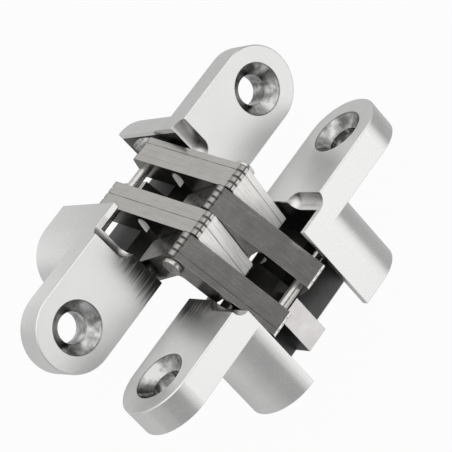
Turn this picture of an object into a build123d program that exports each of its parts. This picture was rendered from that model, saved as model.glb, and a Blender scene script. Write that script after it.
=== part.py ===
"""Concealed table leaf hinge: two hollow castings joined by crossed stacks of bent link plates."""
import os
from math import atan2, cos, degrees, radians, sin

from build123d import *

os.makedirs("parts", exist_ok=True)

# Casing, in its own frame: u across, y along the hinge axis, n out of the face
LENGTH = 60.6
WIDTH = 13.0
FLANGE_THICKNESS = 4.8
DEPTH = 17.5
BODY_FLAT = 9.8
HOLE_SPACING = 47.0
SCREW_DIAMETER = 4.7
SINK_DIAMETER = 8.1

CAVITY_HALF = 9.5
MOUTH_DEPTH = 4.8
OUTER_WALL = 1.0
WALL_END = 5.2
SPINE_FACE = -2.3
SPINE_LOW = -8.3
STEP_DEPTH = 1.85
RIB_FACE = 1.0
RIB_TOP = -10.4
RIB_BACK_TOP = -9.2
RIB_NEAR = -4.38
RIB_FAR = -0.1
RIM_CHAMFER = 0.15
OVERCUT = 1.0
OVERLAP = 0.1

# Links and pins, placed in the frame of the casing that the long arm slides in
REST_OPENING = 93.44
FULL_OPENING = 180.0
NOTCH_OPENING = 110.0
FACE_OFFSET = 7.05
CENTRE_LIFT = 3.09
PIVOT_U = -4.54
PIVOT_N = -2.22
GUIDE_U = 3.38
GUIDE_N = -7.79
ARM_RATIO = 0.421
ARM_HALF = 2.1
TAIL_LENGTH = 1.55
ELBOW_FILLET = 1.2
CORNER_FILLET = 0.95
TAIL_FILLET = 0.5
PLATE_THICKNESS = 1.1
PLATES = 4
STACK_PITCH = 4.48
STACK_HALF = PLATE_THICKNESS * PLATES / 2.0
INNER_STACK = STACK_PITCH / 2.0
OUTER_STACK = INNER_STACK - 2.0 * STACK_PITCH
NICK_WIDTH = 0.34
CORNER_NICK = 0.48
TAIL_NICK = 0.33
NICK_SIDE = 2.0

PIN_RADIUS = 0.8
CENTRE_RADIUS = 1.0
HEAD_RADIUS = 1.55
HEAD_THICKNESS = 0.75
FIT = 0.03
SLOT_FIT = 0.06
SLOT_STEPS = 18
NOTCH_FIT = 0.15
HEAD_GAP = 0.05
PIVOT_REACH = 11.1
SLOT_REACH = 10.9
GUIDE_GAP = 0.2
GUIDE_REACH = SLOT_REACH - GUIDE_GAP

TILT = 90.0 - REST_OPENING / 2.0
UP = Vector(sin(radians(TILT)), cos(radians(TILT)))
OUT = Vector(cos(radians(TILT)), -sin(radians(TILT)))
CENTRE = UP * CENTRE_LIFT - OUT * FACE_OFFSET
PIVOT = Vector(PIVOT_U, PIVOT_N)
GUIDE = Vector(GUIDE_U, GUIDE_N)
STAND = DEPTH * cos(radians(TILT)) + WIDTH / 2.0 * sin(radians(TILT))
PLACE = Pos(FACE_OFFSET, 0, STAND) * Rot(0, -TILT, 0)
HALF_TURN = Rot(0, 0, 180)


def spun(vector, angle):
    """A flat vector turned by an angle in degrees."""
    return vector.rotate(Axis.Z, angle)


# The link's corners: the far pivot is the image of this casing's own in the upright plane
FAR_PIVOT = CENTRE + UP * (2.0 * (PIVOT - CENTRE).dot(UP)) - (PIVOT - CENTRE)
SHORT_ARM = (FAR_PIVOT - CENTRE).normalized()
LONG_ARM = (GUIDE - CENTRE).normalized()
BISECTOR = (SHORT_ARM + LONG_ARM).normalized()
ELBOW = BISECTOR * (ARM_HALF / SHORT_ARM.cross(BISECTOR).length)
LONG_SIDE = spun(LONG_ARM, 90.0) * ARM_HALF
SHORT_SIDE = spun(SHORT_ARM, -90.0) * ARM_HALF
TIP = GUIDE + LONG_ARM * TAIL_LENGTH


def centre_at(opening):
    """Where the centre pin lies in the casing at an opening angle, and the long arm's turn."""
    swing = (opening - REST_OPENING) / (1.0 + ARM_RATIO)
    return PIVOT + spun(CENTRE - PIVOT, swing), ARM_RATIO * swing


def guide_at(opening):
    """Where the guide pin lies in the casing at an opening angle."""
    centre, turn = centre_at(opening)
    return centre + spun(GUIDE - CENTRE, turn)


def pivot_in_link(opening):
    """Where the casing's pivot pin lies on the long arm at an opening angle."""
    centre, turn = centre_at(opening)
    return CENTRE + spun(PIVOT - centre, -turn)


def guide_slot():
    """A round-ended slot along the guide pin's path."""
    half = PIN_RADIUS + SLOT_FIT
    path = [guide_at(FULL_OPENING * step / SLOT_STEPS) for step in range(SLOT_STEPS + 1)]
    heads = [after - before for before, after in zip(path[:1] + path[:-1], path[1:] + path[-1:])]
    sides = [spun(head.normalized(), 90.0) * half for head in heads]
    left = [point + side for point, side in zip(path, sides)]
    right = [point - side for point, side in zip(path, sides)]
    first = path[0] - heads[0].normalized() * half
    last = path[-1] + heads[-1].normalized() * half
    edges = [Polyline(*left), ThreePointArc(left[-1], last, right[-1])]
    edges += [Polyline(*right), ThreePointArc(right[0], first, left[0])]
    return make_face(edges)


def block(u, y, n):
    """A box between two limits on each casing axis."""
    box = Box(u[1] - u[0], y[1] - y[0], n[1] - n[0])
    return Pos((u[0] + u[1]) / 2.0, (y[0] + y[1]) / 2.0, (n[0] + n[1]) / 2.0) * box


def rod(point, radius, start, end):
    """A round bar along the hinge axis."""
    bar = Rot(90, 0, 0) * Cylinder(radius, end - start)
    return Pos(point.X, (start + end) / 2.0, point.Y) * bar


def across(face, start, end):
    """A flat outline drawn in u and n, made solid between two places on the hinge axis."""
    return Pos(0, end, 0) * extrude(Plane.XZ * face, amount=end - start)


def screw_hole():
    """The through hole and its countersink."""
    sink = (SINK_DIAMETER - SCREW_DIAMETER) / 2.0
    bore = Cylinder(SCREW_DIAMETER / 2.0, 2.0 * (FLANGE_THICKNESS + OVERCUT))
    cone = Cone(SCREW_DIAMETER / 2.0, SINK_DIAMETER / 2.0, sink)
    return bore + Pos(0, 0, -sink / 2.0) * cone


def head_recess(end):
    """The cove at one end of the mouth that clears the centre pin's head."""
    reach = WIDTH / 2.0 - STEP_DEPTH + OVERCUT
    cove = Pos(reach / 2.0 + STEP_DEPTH, end, 0) * Rot(0, 90, 0) * Cylinder(STEP_DEPTH, reach)
    return cove + Pos(STEP_DEPTH, end, 0) * Sphere(STEP_DEPTH)


def casing():
    """The flanged casting with its mouth, spine, rib, screw holes and pin holes."""
    side = WIDTH / 2.0
    wall = side - OUTER_WALL
    cavity = (-CAVITY_HALF, CAVITY_HALF)
    through = (-DEPTH - OVERCUT, OVERCUT)
    window = (wall - OVERLAP, side + OVERCUT)
    flange = extrude(SlotOverall(LENGTH, WIDTH, rotation=90), amount=-FLANGE_THICKNESS)
    body = extrude(SlotOverall(2.0 * BODY_FLAT + WIDTH, WIDTH, rotation=90), amount=-DEPTH)
    shape = flange + body
    rim = shape.faces().sort_by(Axis.Z)[-1].edges()
    shape = chamfer(rim, RIM_CHAMFER)
    shape -= block((-side - OVERCUT, wall), cavity, (-MOUTH_DEPTH, OVERCUT))
    shape -= block((SPINE_FACE, wall), cavity, through)
    shape -= block(window, (-CAVITY_HALF, WALL_END), through)
    shape -= block(window, (WALL_END - OVERLAP, CAVITY_HALF), (-STEP_DEPTH, OVERCUT))
    ramp = Polygon((-side, -MOUTH_DEPTH), (SPINE_FACE, SPINE_LOW), (SPINE_FACE, -MOUTH_DEPTH), align=None)
    shape -= across(ramp, -CAVITY_HALF, CAVITY_HALF)
    back = SPINE_FACE - OVERLAP
    corners = [(back, -DEPTH), (RIB_FACE, -DEPTH), (RIB_FACE, RIB_TOP), (back, RIB_BACK_TOP)]
    shape += across(Polygon(*corners, align=None), RIB_NEAR, RIB_FAR)
    for end in cavity:
        shape -= head_recess(end)
    for end in (-HOLE_SPACING / 2.0, HOLE_SPACING / 2.0):
        shape -= Pos(0, end, 0) * screw_hole()
    shape -= rod(PIVOT, PIN_RADIUS + FIT, -PIVOT_REACH, PIVOT_REACH)
    shape -= across(guide_slot(), -SLOT_REACH, SLOT_REACH)
    return shape


def rounded(plate, corner, radius):
    """The plate with its corner nearest to a point rounded."""
    vertex = plate.vertices().sort_by_distance(corner)[0]
    return fillet(vertex, radius)


def link_outline():
    """The bent plate's outline with its pin holes and the notch that clears the pivot pin."""
    start = FAR_PIVOT + SHORT_SIDE
    end = FAR_PIVOT - SHORT_SIDE
    corners = [start, CENTRE - ELBOW, TIP + LONG_SIDE, TIP - LONG_SIDE, CENTRE + ELBOW, end]
    edges = Polyline(*corners) + ThreePointArc(end, FAR_PIVOT + SHORT_ARM * ARM_HALF, start)
    plate = make_face(edges)
    plate = rounded(plate, CENTRE - ELBOW, CORNER_FILLET)
    plate = rounded(plate, CENTRE + ELBOW, ELBOW_FILLET)
    plate = rounded(plate, TIP + LONG_SIDE, TAIL_FILLET)
    path = [pivot_in_link(opening) for opening in (FULL_OPENING, NOTCH_OPENING)]
    middle = pivot_in_link((FULL_OPENING + NOTCH_OPENING) / 2.0)
    plate -= SlotArc(ThreePointArc(path[0], middle, path[1]), 2.0 * (PIN_RADIUS + NOTCH_FIT))
    plate -= Pos(CENTRE.X, CENTRE.Y) * Circle(CENTRE_RADIUS + FIT)
    plate -= Pos(FAR_PIVOT.X, FAR_PIVOT.Y) * Circle(PIN_RADIUS + FIT)
    plate -= Pos(GUIDE.X, GUIDE.Y) * Circle(PIN_RADIUS)
    return plate


def nick(corner, inward, depth):
    """The flat cut that the punch's rolled edge leaves at a plate's corner."""
    place = corner + inward * (depth - NICK_SIDE / 2.0)
    angle = degrees(atan2(inward.Y, inward.X))
    return Pos(place.X, place.Y) * Rectangle(NICK_SIDE, NICK_SIDE, rotation=angle)


def link_stack(middle):
    """Riveted plates about one place on the hinge axis, nicked at the seams between them."""
    stack = across(link_outline(), middle - STACK_HALF, middle + STACK_HALF)
    tail_inward = -(LONG_ARM + LONG_SIDE.normalized()).normalized()
    nicks = [nick(CENTRE - ELBOW, BISECTOR, CORNER_NICK), nick(TIP + LONG_SIDE, tail_inward, TAIL_NICK)]
    for plate in range(1, PLATES):
        seam = middle - STACK_HALF + PLATE_THICKNESS * plate
        for cut in nicks:
            stack -= across(cut, seam - NICK_WIDTH / 2.0, seam + NICK_WIDTH / 2.0)
    return stack


def centre_pin():
    """The pin through both links, headed at each end."""
    pack = STACK_HALF - OUTER_STACK + HEAD_GAP
    pin = rod(CENTRE, CENTRE_RADIUS, -pack, pack)
    pin += rod(CENTRE, HEAD_RADIUS, -pack - HEAD_THICKNESS, -pack)
    pin += rod(CENTRE, HEAD_RADIUS, pack, pack + HEAD_THICKNESS)
    return pin


def save(shape, name):
    """Writes one sub-part."""
    export_step(shape, f"parts/{name}.step")


def save_pair(shape, swing_name, fixed_name):
    """Writes a piece in its place on the swing side, and its twin half a turn round."""
    placed = PLACE * shape
    save(placed, swing_name)
    save(HALF_TURN * placed, fixed_name)


save_pair(casing(), "swing_casing", "fixed_casing")
save_pair(rod(PIVOT, PIN_RADIUS, -PIVOT_REACH, PIVOT_REACH), "swing_pivot_pin", "fixed_pivot_pin")
save_pair(rod(GUIDE, PIN_RADIUS, -GUIDE_REACH, GUIDE_REACH), "swing_guide_pin", "fixed_guide_pin")
save(PLACE * centre_pin(), "centre_pin")
save_pair(link_stack(INNER_STACK), "link_b_inner_stack", "link_a_inner_stack")
save_pair(link_stack(OUTER_STACK), "link_b_outer_stack", "link_a_outer_stack")
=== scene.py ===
from functools import reduce
from math import cos, pi, radians

import bpy
from mathutils import Matrix, Vector

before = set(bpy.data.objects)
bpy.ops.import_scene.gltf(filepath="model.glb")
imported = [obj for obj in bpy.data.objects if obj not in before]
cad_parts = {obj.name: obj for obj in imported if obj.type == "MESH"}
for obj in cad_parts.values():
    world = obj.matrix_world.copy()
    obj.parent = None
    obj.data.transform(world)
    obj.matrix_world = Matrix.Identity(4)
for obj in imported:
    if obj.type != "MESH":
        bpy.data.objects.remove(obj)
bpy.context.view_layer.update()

MM = 0.001
WHITE = (1.0, 1.0, 1.0, 1.0)
RISE = (0.0, 1.0)
FALL = (1.0, 0.0)

# Camera fitted to the photo: its place in metres and its axes in the part's frame
CAMERA_PLACE = Vector((0.099036, -0.119223, 0.303228))
CAMERA_RIGHT = Vector((0.83324, 0.55057, -0.05084))
CAMERA_DOWN = Vector((0.46523, -0.74782, -0.47362))
CAMERA_FORWARD = Vector((-0.29878, 0.37099, -0.87926))
CAMERA_CLIP = (0.01, 10.0)
SENSOR_MM = 36.0
LENS_MM = 178.0

# The casings' own frame: u across, y along the hinge axis, n out of the face
FACE_PLACE = Vector((7.05, 0.0, 17.1964)) * MM
TILT = radians(43.28)

# Features of a casing in its own frame: sinks, pocket, rib, a painted dark reflection on the face, coves
# beside the cavity
HOLE_PLACE = 23.5 * MM
SINK_RADIUS = 4.05 * MM
SINK_N = -4.7 * MM
RIM_RADIUS = (3.9 * MM, 4.1 * MM)
RING_PITCH = 0.17 * MM
CAVITY_HALF = 9.55 * MM
POCKET_U = (-6.4 * MM, 5.6 * MM)
POCKET_N = (-17.4 * MM, -0.25 * MM)
POCKET_FADE = (-17.0 * MM, -11.0 * MM)
RIB_U = 0.95 * MM
RIB_N = -10.2 * MM
RIB_HALF = 5.0 * MM
FACE_N = -0.2 * MM
PAINTED_REFLECTION_U = (-6.5 * MM, 5.0 * MM)
PAINTED_REFLECTION_REACH = (6.5 * MM, 1.6 * MM)
COVE_Y = (7.65 * MM, 11.5 * MM)
COVE_U = (0.0, 6.4 * MM)
COVE_N = (-2.0 * MM, -0.05 * MM)

# Features of the link stacks: seams along the hinge axis, ways that edges face for painted light and
# shade, centre pin, ridges
SEAM_PITCH = 1.12 * MM
SEAM_HALF = 0.05 * MM
OPEN_SEAM_HALF = 0.1 * MM
SEAMS_A = (7.82 * MM, -2.24 * MM)
SEAMS_B = (-7.82 * MM,)
SHORT_EDGE = Vector((0.804, 0.0, 0.595))
HIDDEN_EDGE = Vector((-0.804, 0.0, 0.595))
AXIS = Vector((0.0, 1.0, 0.0))
EDGE_FACING = 0.93
END_FACING = 0.9
PIN_PLACE = Vector((0.0, 0.0, 20.286)) * MM
PIN_SHADOW = (1.6 * MM, 1.95 * MM)
RIDGE_X = 0.694 * MM
RIDGE_Z = 22.88 * MM
RIDGE_RADIUS = 1.0 * MM
NICK_HALF = 0.18 * MM

# Noise: its scale along each axis, and its detail
CAST_STREAK = ((3400.0, 90.0, 3400.0), 6.0)
CAST_MOTTLE = ((210.0, 150.0, 210.0), 3.0)
CAST_GRAIN = ((9000.0, 9000.0, 9000.0), 2.0)
SINK_BLOTCH = ((380.0, 380.0, 380.0), 3.0)
PAINTED_REFLECTION_STREAKS = ((2300.0, 60.0, 2300.0), 4.0)
LINK_DRAWN = ((260.0, 7600.0, 260.0), 5.0)
LINK_MOTTLE = ((520.0, 520.0, 520.0), 3.0)
LINK_FADE = ((330.0, 900.0, 330.0), 2.0)
PIN_GROUND = ((900.0, 6500.0, 900.0), 4.0)
NOISE_ROUGHNESS = 0.62

# Tones: two noise levels, each with its colour
PLATE_TONES = ((0.34, (0.79, 0.79, 0.783, 1.0)), (0.66, (0.88, 0.88, 0.873, 1.0)))
# The sinks' blotched tones are painted darker than the face, as shade
SINK_SHADE_TONES = ((0.40, (0.20, 0.20, 0.196, 1.0)), (0.60, (0.62, 0.62, 0.615, 1.0)))
# The pocket's tones are painted shade, near black
POCKET_SHADE_TONES = ((0.35, (0.035, 0.034, 0.034, 1.0)), (0.65, (0.075, 0.072, 0.07, 1.0)))
CAST_TONES = ((0.35, (0.62, 0.60, 0.595, 1.0)), (0.65, (0.77, 0.75, 0.745, 1.0)))
STEEL_TONES = ((0.34, (0.505, 0.49, 0.468, 1.0)), (0.66, (0.60, 0.583, 0.56, 1.0)))
# Painted light on the short arms' ends that face up to the right
SHEARED_PAINTED_LIGHT_TONES = ((0.36, (0.70, 0.69, 0.67, 1.0)), (0.48, (0.95, 0.94, 0.92, 1.0)))
# Painted shade on the plates' sides and on edges that face up to the left
PAINTED_SHADE_TONES = ((0.36, (0.15, 0.145, 0.138, 1.0)), (0.64, (0.25, 0.243, 0.232, 1.0)))
PIN_TONES = ((0.35, (0.58, 0.565, 0.54, 1.0)), (0.65, (0.74, 0.725, 0.70, 1.0)))
PIN_END_SHADE_TONES = ((0.35, (0.26, 0.252, 0.24, 1.0)), (0.65, (0.36, 0.35, 0.335, 1.0)))
PLATE_EDGE_COLOUR = (0.9, 0.9, 0.89, 1.0)
STEEL_EDGE_COLOUR = (0.74, 0.73, 0.71, 1.0)
PIN_EDGE_COLOUR = (0.80, 0.79, 0.77, 1.0)
# Painted shade along the sinks' edge
RIM_SHADE_COLOUR = (0.16, 0.16, 0.155, 1.0)
# A painted dark reflection on the face by the cavity's end
PAINTED_REFLECTION_COLOUR = (0.06, 0.058, 0.056, 1.0)
SEAM_COLOUR = (0.05, 0.046, 0.042, 1.0)

# Shares of the noises in a shade, and of the colours that the masks lay over it
STREAK_SHARE = 0.5
DRAWN_SHARE = 0.6
PLATE_EDGE_SHARE = 0.5
STEEL_EDGE_SHARE = 0.4
RIM_SHADE_SHARE = 0.6
COVE_SHARE = 0.6
POCKET_SHADE_SHARE = (0.9, 1.0)
PAINTED_REFLECTION_WEIGHT = 1.5
PAINTED_REFLECTION_LEVELS = (0.05, 0.6)
PAINTED_REFLECTION_SHARE = (0.0, 0.93)
SEAM_FADE = (0.42, 0.62)
SEAM_SHARE = (0.05, 0.4)
OPEN_SEAM_FADE = (0.35, 0.55)
OPEN_SEAM_SHARE = (0.45, 1.0)
# Painted shade in the nicks and on the ridge
NICK_SHADE_SHARE = 0.85
RIDGE_SHADE_SHARE = 0.35
PIN_SHADOW_SHARE = (0.9, 0.0)

# Roughness over the usual range of a shade, what the masks add to it, and how metallic the steel is
SHADE_RANGE = (0.3, 0.7)
PLATE_ROUGHNESS = (0.21, 0.31)
STEEL_ROUGHNESS = (0.22, 0.29)
PIN_ROUGHNESS = (0.2, 0.34)
FACE_ROUGHER = 0.06
POCKET_ROUGHER = 0.25
SINK_ROUGHER = -0.12
COVE_ROUGHER = 0.04
SHEARED_ROUGHER = 0.22
SHEARED_METALLIC = (1.0, 0.1)
CAST_BRUSHED = 0.5

# Bumps: depth, the share of each pattern in the height, and the strength on each metal
BUMP_DEPTH = 0.02 * MM
STREAK_HEIGHT = 0.6
GRAIN_HEIGHT = 0.4
RING_HEIGHT = 0.25
DRAWN_HEIGHT = 0.5
CAST_BUMP = 0.13
STEEL_BUMP = 0.12
PIN_BUMP = 0.15

# Eased edges: radius, and the cosines of the turn from full edge to plain face
EDGE_RADIUS = 0.12 * MM
EDGE_TURN = (0.90, 0.995)

# The floor lies below the swing casing's lowest point, about 16.4 mm down when the hinge is flat open
FLOOR_SIZE = 3.0
FLOOR_Z = -17.0 * MM
FLOOR_COLOUR = (0.44, 0.44, 0.44, 1.0)
FLOOR_CAMERA_SHARE = 0.955
FLOOR_MIRROR_SHARE = 0.2

# Darker patches at the back and front, as the x and y over which they set in, and a bright pool to mirror
PATCH_COLOUR = (0.3, 0.3, 0.3, 1.0)
PATCHES = (
    ((-5.0 * MM, 40.0 * MM), (35.0 * MM, 70.0 * MM)),
    ((0.0, 40.0 * MM), (-60.0 * MM, -110.0 * MM)),
)
POOL_PLACE = Vector((-82.0, -15.0, 0.0)) * MM
POOL_RADIUS = (10.0 * MM, 48.0 * MM)

# The world's level to the camera, its levels as light, and where along each axis they change
SEEN_LEVEL = 0.975
SIDE_LEVEL = 0.72
TOP_LEVEL = 1.18
TOP_Z = (0.45, 0.85)
FRONT_Y = (0.05, -0.15)
FRONT_RIGHT_LEVEL = 0.36
FRONT_RIGHT_X = (0.0, 0.4)
RIGHT_LEVEL = 1.03
RIGHT_X = (0.55, 0.75)
RIGHT_Y = (0.1, 0.26)
BACK_LEVEL = 0.45
BACK_Y = (0.5, 0.8)
FLAG_LEVEL = 0.12
FLAG_WAY = Vector((0.57, 0.34, 0.745)).normalized()
FLAG_EDGE = (cos(radians(25.0)), cos(radians(12.0)))

# Lamps, in metres and watts. The metal mirrors the key and not the fill
LAMPS = (
    {"name": "key_right", "place": (0.50, 0.27, 0.31), "size": 0.3, "watts": 0.08, "mirrored": True},
    {"name": "fill_front", "place": (0.175, -0.225, 0.41), "size": 0.5, "watts": 1.05, "mirrored": False},
)
LAMP_AIM = Vector((0.0, 0.0, 12.0 * MM))

# A Mix node's colour sockets, which share their names with its other kinds
MIX_INPUTS = (0, 6, 7)
MIX_OUTPUT = 2


class Graph:
    """A cleared node tree with short calls for the node kinds used here."""

    def __init__(self, tree):
        self.tree = tree
        tree.nodes.clear()

    def add(self, kind, **values):
        """A node, with its named sockets set or linked. Spaces in socket names are underscores."""
        node = self.tree.nodes.new("ShaderNode" + kind)
        for name, value in values.items():
            self.put(node.inputs[name.replace("_", " ")], value)
        return node

    def put(self, socket, value):
        """Links a socket, or sets its plain value."""
        if isinstance(value, bpy.types.NodeSocket):
            self.tree.links.new(value, socket)
        else:
            socket.default_value = value

    def fill(self, node, values):
        """A node with its first sockets set or linked in order."""
        for socket, value in zip(node.inputs, values):
            self.put(socket, value)
        return node

    def work_out(self, kind, operation, values):
        """The value that a Math or VectorMath node gives."""
        node = self.add(kind)
        node.operation = operation
        return self.fill(node, values).outputs["Value"]

    def math(self, operation, *values):
        return self.work_out("Math", operation, values)

    def dot(self, first, second):
        return self.work_out("VectorMath", "DOT_PRODUCT", (first, second))

    def distance(self, first, second):
        return self.work_out("VectorMath", "DISTANCE", (first, second))

    def fold(self, operation, values):
        """One operation carried along a row of values."""
        return reduce(lambda left, right: self.math(operation, left, right), values)

    def total(self, *values):
        return self.fold("ADD", values)

    def product(self, *values):
        return self.fold("MULTIPLY", values)

    def largest(self, *values):
        return self.fold("MAXIMUM", values)

    def rest(self, share):
        """What a share leaves of 1."""
        return self.math("SUBTRACT", 1.0, share)

    def gap(self, first, second):
        """How far two values are apart."""
        return self.math("ABSOLUTE", self.math("SUBTRACT", first, second))

    def blend(self, share, first, second):
        """A share of one value and the rest of another."""
        return self.total(self.product(first, share), self.product(second, 1.0 - share))

    def spread(self, value, source, target, smooth=False):
        """A value carried from one range to another and held inside it."""
        node = self.add("MapRange", Value=value)
        node.interpolation_type = "SMOOTHSTEP" if smooth else "LINEAR"
        for name, number in zip(("From Min", "From Max", "To Min", "To Max"), source + target):
            node.inputs[name].default_value = number
        return node.outputs["Result"]

    def rise(self, value, source, level=1.0):
        """A smooth change from 0 to a level over a range."""
        return self.spread(value, source, (0.0, level), smooth=True)

    def hairline(self, apart, half):
        """1 on a line, falling smoothly to 0 at its half width."""
        return self.spread(apart, (0.0, half), FALL, smooth=True)

    def above(self, value, limit):
        """1 where a value is over a limit, else 0."""
        return self.math("GREATER_THAN", value, limit)

    def below(self, value, limit):
        """1 where a value is under a limit, else 0."""
        return self.math("LESS_THAN", value, limit)

    def between(self, value, low, high):
        """1 where a value lies between two limits, else 0."""
        return self.product(self.above(value, low), self.below(value, high))

    def facing(self, normal, way, limit):
        """1 where a face looks one way, else 0."""
        return self.above(self.dot(normal, way), limit)

    def end_on(self, normal):
        """1 where a face looks along the hinge axis, to either end, else 0."""
        return self.above(self.math("ABSOLUTE", self.dot(normal, AXIS)), END_FACING)

    def axes(self, vector):
        """The three parts of a vector."""
        parts = self.add("SeparateXYZ", Vector=vector)
        return [parts.outputs[axis] for axis in "XYZ"]

    def noise(self, place, scale, detail):
        """Noise with its own scale along each axis, so that it can be drawn out into streaks."""
        place = self.add("Mapping", Vector=place, Scale=scale).outputs["Vector"]
        node = self.add("TexNoise", Vector=place, Scale=1.0, Detail=detail, Roughness=NOISE_ROUGHNESS)
        return node.outputs["Fac"]

    def mix(self, share, first, second):
        """A colour between two colours."""
        node = self.add("Mix")
        node.data_type = "RGBA"
        for index, value in zip(MIX_INPUTS, (share, first, second)):
            self.put(node.inputs[index], value)
        return node.outputs[MIX_OUTPUT]

    def ramp(self, value, low, high):
        """A colour that follows a value between two colours."""
        node = self.add("ValToRGB", Fac=value)
        for element, (position, colour) in zip(node.color_ramp.elements, (low, high)):
            element.position = position
            element.color = colour
        return node.outputs["Color"]

    def edges(self):
        """The normal eased over the edges, and a mask that is 1 along them."""
        eased = self.add("Bevel", Radius=EDGE_RADIUS).outputs["Normal"]
        plain = self.add("NewGeometry").outputs["Normal"]
        return eased, self.spread(self.dot(eased, plain), EDGE_TURN, FALL)

    def bump(self, height, strength, normal):
        node = self.add("Bump", Height=height, Strength=strength, Distance=BUMP_DEPTH, Normal=normal)
        return node.outputs["Normal"]

    def metal(self, colour, roughness, normal, brushed=0.0, metallic=1.0):
        """Finishes the tree as metal, brushed along the hinge axis by a share."""
        tangent = self.add("Tangent")
        tangent.direction_type = "RADIAL"
        tangent.axis = "Y"
        shader = self.add(
            "BsdfPrincipled",
            Base_Color=colour,
            Metallic=metallic,
            Roughness=roughness,
            Normal=normal,
            Anisotropic=brushed,
            Tangent=tangent.outputs["Tangent"],
        )
        self.add("OutputMaterial", Surface=shader.outputs["BSDF"])


def new_graph(name):
    material = bpy.data.materials.new(name)
    material.use_nodes = True
    return material, Graph(material.node_tree)


def casting(name, turn):
    """Satin plated casting: streaked along its length and turned in the sinks, with painted shade in the
    sinks and the pocket.
    """
    material, graph = new_graph(name)
    place = graph.add("TexCoord").outputs["Object"]
    origin = Matrix.Rotation(turn, 3, "Z") @ FACE_PLACE
    mapping = graph.add("Mapping", Vector=place, Location=origin, Rotation=(0.0, -TILT, turn))
    mapping.vector_type = "TEXTURE"
    local = mapping.outputs["Vector"]
    u, y, n = graph.axes(local)
    along = graph.math("ABSOLUTE", y)
    eased, edge = graph.edges()

    streak = graph.noise(local, *CAST_STREAK)
    mottle = graph.noise(local, *CAST_MOTTLE)
    grain = graph.noise(local, *CAST_GRAIN)
    shade = graph.blend(STREAK_SHARE, streak, mottle)
    plate = graph.ramp(shade, *PLATE_TONES)
    plate = graph.mix(graph.product(edge, PLATE_EDGE_SHARE), plate, PLATE_EDGE_COLOUR)

    # Turned and blotched sinks, painted darker than the face as shade, with a painted shade rim at their
    # edge
    from_hole = graph.math("SUBTRACT", along, HOLE_PLACE)
    square = graph.total(graph.product(u, u), graph.product(from_hole, from_hole))
    radius = graph.math("SQRT", square)
    shallow = graph.above(n, SINK_N)
    sink = graph.product(graph.below(radius, SINK_RADIUS), shallow)
    rings = graph.math("SINE", graph.product(radius, 2.0 * pi / RING_PITCH))
    blotch = graph.noise(local, *SINK_BLOTCH)
    plate = graph.mix(sink, plate, graph.ramp(blotch, *SINK_SHADE_TONES))
    rim_shade = graph.product(graph.between(radius, *RIM_RADIUS), shallow, RIM_SHADE_SHARE)
    plate = graph.mix(rim_shade, plate, RIM_SHADE_COLOUR)

    # A painted dark reflection of the links, streaked on the face out from the cavity's end towards -Y
    near = graph.below(graph.axes(place)[1], 0.0)
    face = graph.above(n, FACE_N)
    reach = graph.spread(u, PAINTED_REFLECTION_U, PAINTED_REFLECTION_REACH)
    run_out = graph.math("DIVIDE", graph.math("SUBTRACT", along, CAVITY_HALF), reach)
    reflection_streaks = graph.noise(local, *PAINTED_REFLECTION_STREAKS)
    reflection_level = graph.math("SUBTRACT", graph.product(reflection_streaks, PAINTED_REFLECTION_WEIGHT), run_out)
    painted_reflection = graph.product(graph.spread(reflection_level, PAINTED_REFLECTION_LEVELS, PAINTED_REFLECTION_SHARE), near, face)
    plate = graph.mix(painted_reflection, plate, PAINTED_REFLECTION_COLOUR)

    # Bare casting on the rib and the coves, and painted shade darkening the pocket round the rib
    pocket = graph.product(
        graph.below(along, CAVITY_HALF),
        graph.between(u, *POCKET_U),
        graph.between(n, *POCKET_N),
    )
    rib = graph.product(
        graph.above(u, RIB_U),
        graph.below(n, RIB_N),
        graph.below(along, RIB_HALF),
    )
    deep = graph.spread(n, POCKET_FADE, POCKET_SHADE_SHARE, smooth=True)
    dark = graph.product(pocket, deep, graph.rest(rib))
    cove = graph.product(
        graph.between(along, *COVE_Y),
        graph.between(u, *COVE_U),
        graph.between(n, *COVE_N),
    )
    cast = graph.ramp(mottle, *CAST_TONES)
    plate = graph.mix(rib, plate, cast)
    plate = graph.mix(graph.product(cove, COVE_SHARE), plate, cast)
    colour = graph.mix(dark, plate, graph.ramp(mottle, *POCKET_SHADE_TONES))

    roughness = graph.total(
        graph.spread(shade, SHADE_RANGE, PLATE_ROUGHNESS),
        graph.product(face, FACE_ROUGHER),
        graph.product(dark, POCKET_ROUGHER),
        graph.product(sink, SINK_ROUGHER),
        graph.product(cove, COVE_ROUGHER),
    )
    height = graph.total(
        graph.product(streak, STREAK_HEIGHT),
        graph.product(grain, GRAIN_HEIGHT),
        graph.product(rings, sink, RING_HEIGHT),
    )
    graph.metal(colour, roughness, graph.bump(height, CAST_BUMP, eased), brushed=CAST_BRUSHED)
    return material


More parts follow.
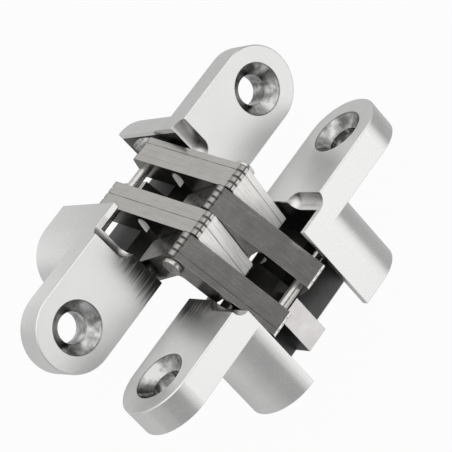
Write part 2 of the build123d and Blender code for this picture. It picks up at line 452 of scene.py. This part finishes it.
def link_steel(name, open_seams, ridge_x):
    """Stacked steel plates: edges drawn along the arms, with seams, and painted light and shade on edges,
    nicks, the ridge and round the pin.
    """
    material, graph = new_graph(name)
    coordinates = graph.add("TexCoord")
    place = coordinates.outputs["Object"]
    normal = coordinates.outputs["Normal"]
    x, y, z = graph.axes(place)
    flat = graph.add("CombineXYZ", X=x, Z=z).outputs["Vector"]
    eased, edge = graph.edges()

    # Painted light on the short arms' ends, which are also matte sheared steel; painted shade on the
    # plates' sides and hidden edges
    drawn = graph.noise(place, *LINK_DRAWN)
    mottle = graph.noise(place, *LINK_MOTTLE)
    shade = graph.blend(DRAWN_SHARE, drawn, mottle)
    steel = graph.ramp(shade, *STEEL_TONES)
    sheared_painted_light_faces = graph.facing(normal, SHORT_EDGE, EDGE_FACING)
    steel = graph.mix(sheared_painted_light_faces, steel, graph.ramp(drawn, *SHEARED_PAINTED_LIGHT_TONES))
    steel = graph.mix(graph.product(edge, STEEL_EDGE_SHARE), steel, STEEL_EDGE_COLOUR)
    side_on = graph.end_on(normal)
    painted_shade_faces = graph.largest(side_on, graph.facing(normal, HIDDEN_EDGE, EDGE_FACING))
    steel = graph.mix(painted_shade_faces, steel, graph.ramp(mottle, *PAINTED_SHADE_TONES))

    # Faint seams between all plates, a few open ones, painted shade in the nicks and on the ridge, and
    # the pin's painted shadow ring
    fade = graph.noise(place, *LINK_FADE)
    turns = graph.math("DIVIDE", y, SEAM_PITCH)
    off = graph.product(graph.gap(turns, graph.math("ROUND", turns)), SEAM_PITCH)
    seams = graph.product(graph.hairline(off, SEAM_HALF), graph.spread(fade, SEAM_FADE, SEAM_SHARE))
    for seam in open_seams:
        open_line = graph.hairline(graph.gap(y, seam), OPEN_SEAM_HALF)
        open_share = graph.spread(fade, OPEN_SEAM_FADE, OPEN_SEAM_SHARE)
        seams = graph.largest(seams, graph.product(open_line, open_share))
    at_ridge = graph.below(graph.distance(flat, (ridge_x, 0.0, RIDGE_Z)), RIDGE_RADIUS)
    nick_shade = graph.product(graph.below(off, NICK_HALF), at_ridge, NICK_SHADE_SHARE)
    # A painted shadow ring round the centre pin on the plates' sides
    pin_shadow_ring = graph.spread(graph.distance(flat, PIN_PLACE), PIN_SHADOW, PIN_SHADOW_SHARE, smooth=True)
    dark = graph.largest(seams, nick_shade, graph.product(pin_shadow_ring, side_on), graph.product(at_ridge, RIDGE_SHADE_SHARE))
    colour = graph.mix(dark, steel, SEAM_COLOUR)

    rolled = graph.spread(shade, SHADE_RANGE, STEEL_ROUGHNESS)
    roughness = graph.total(rolled, graph.product(sheared_painted_light_faces, SHEARED_ROUGHER))
    height = graph.math("SUBTRACT", graph.product(drawn, DRAWN_HEIGHT), seams)
    metallic = graph.spread(sheared_painted_light_faces, RISE, SHEARED_METALLIC)
    graph.metal(colour, roughness, graph.bump(height, STEEL_BUMP, eased), metallic=metallic)
    return material


def pin_steel():
    """Ground steel pins with fine rings round them and painted shade on their ends."""
    material, graph = new_graph("pin_steel")
    coordinates = graph.add("TexCoord")
    eased, edge = graph.edges()
    ground = graph.noise(coordinates.outputs["Object"], *PIN_GROUND)
    colour = graph.ramp(ground, *PIN_TONES)
    colour = graph.mix(graph.product(edge, STEEL_EDGE_SHARE), colour, PIN_EDGE_COLOUR)
    # Painted shade on the ends that face along the axis
    end_on = graph.end_on(coordinates.outputs["Normal"])
    colour = graph.mix(end_on, colour, graph.ramp(ground, *PIN_END_SHADE_TONES))
    roughness = graph.spread(ground, SHADE_RANGE, PIN_ROUGHNESS)
    graph.metal(colour, roughness, graph.bump(ground, PIN_BUMP, eased))
    return material


FINISHES = {
    "swing_casing": casting("satin_casting_swing", 0.0),
    "fixed_casing": casting("satin_casting_fixed", pi),
    "link_a": link_steel("link_steel_a", SEAMS_A, RIDGE_X),
    "link_b": link_steel("link_steel_b", SEAMS_B, -RIDGE_X),
    "pin": pin_steel(),
}


def finish_for(name):
    """The material of a CAD node, by how its name starts or ends."""
    return next(finish for key, finish in FINISHES.items() if name.startswith(key) or name.endswith(key))


for name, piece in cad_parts.items():
    piece.data.materials.clear()
    piece.data.materials.append(finish_for(name))


def add_floor():
    """A floor that is white to the camera but for a faint shadow, and mid-grey as light.

    Metal mirrors it dimly outside one bright pool.
    """
    bpy.ops.mesh.primitive_plane_add(size=FLOOR_SIZE, location=(0.0, 0.0, FLOOR_Z))
    floor = bpy.context.object
    floor.name = "floor"
    material, graph = new_graph("pale_floor")
    path = graph.add("LightPath")
    place = graph.add("TexCoord").outputs["Object"]
    x, y, _ = graph.axes(place)
    from_pool = graph.distance(place, POOL_PLACE)
    pool = graph.spread(from_pool, POOL_RADIUS, (1.0, FLOOR_MIRROR_SHARE), smooth=True)
    seen = graph.product(path.outputs["Is Camera Ray"], FLOOR_CAMERA_SHARE)
    mirrored = graph.total(path.outputs["Is Glossy Ray"], path.outputs["Is Transmission Ray"])
    share = graph.total(seen, graph.product(mirrored, pool))
    patches = graph.largest(
        *(graph.product(graph.rise(x, across), graph.rise(y, along)) for across, along in PATCHES)
    )
    diffuse = graph.add("BsdfDiffuse", Color=graph.mix(patches, FLOOR_COLOUR, PATCH_COLOUR))
    glow = graph.add("Emission", Color=WHITE, Strength=1.0)
    shaders = (diffuse.outputs["BSDF"], glow.outputs["Emission"])
    surface = graph.fill(graph.add("MixShader"), (share, *shaders))
    graph.add("OutputMaterial", Surface=surface.outputs["Shader"])
    floor.data.materials.append(material)


def add_world():
    """A pale studio, brightest overhead, with a dark flag up on the right. It is white to the camera."""
    world = bpy.data.worlds.new("studio")
    bpy.context.scene.world = world
    world.use_nodes = True
    graph = Graph(world.node_tree)
    way = graph.add("TexCoord").outputs["Generated"]
    x, y, z = graph.axes(way)
    front = graph.rise(y, FRONT_Y)
    front_right = graph.product(front, graph.rise(x, FRONT_RIGHT_X, FRONT_RIGHT_LEVEL - SIDE_LEVEL))
    back = graph.rise(y, BACK_Y, BACK_LEVEL - SIDE_LEVEL)
    top = graph.rise(z, TOP_Z, TOP_LEVEL - SIDE_LEVEL)
    right = graph.product(graph.rise(x, RIGHT_X), graph.rise(y, RIGHT_Y, RIGHT_LEVEL - SIDE_LEVEL))
    pale = graph.total(SIDE_LEVEL, front_right, back, top, right)
    flag = graph.spread(graph.dot(way, FLAG_WAY), FLAG_EDGE, (1.0, FLAG_LEVEL), smooth=True)
    seen = graph.add("LightPath").outputs["Is Camera Ray"]
    level = graph.total(graph.product(pale, flag, graph.rest(seen)), graph.product(seen, SEEN_LEVEL))
    studio = graph.add("Background", Color=WHITE, Strength=level)
    graph.add("OutputWorld", Surface=studio.outputs["Background"])


def add_lamp(name, place, size, watts, mirrored):
    """A soft panel turned towards the hinge, which the metal mirrors or doesn't."""
    data = bpy.data.lights.new(name, "AREA")
    data.shape = "SQUARE"
    data.size = size
    data.energy = watts
    lamp = bpy.data.objects.new(name, data)
    lamp.location = place
    lamp.visible_glossy = mirrored
    lamp.rotation_euler = (LAMP_AIM - lamp.location).to_track_quat("-Z", "Y").to_euler()
    bpy.context.collection.objects.link(lamp)


def add_camera():
    data = bpy.data.cameras.new("camera")
    data.sensor_width = SENSOR_MM
    data.lens = LENS_MM
    data.clip_start, data.clip_end = CAMERA_CLIP
    camera = bpy.data.objects.new("camera", data)
    axes = Matrix((CAMERA_RIGHT, -CAMERA_DOWN, -CAMERA_FORWARD)).transposed()
    camera.matrix_world = Matrix.Translation(CAMERA_PLACE) @ axes.to_4x4()
    bpy.context.collection.objects.link(camera)
    bpy.context.scene.camera = camera


add_floor()
add_world()
for lamp in LAMPS:
    add_lamp(**lamp)
add_camera()
bpy.context.scene.view_settings.view_transform = "Standard"
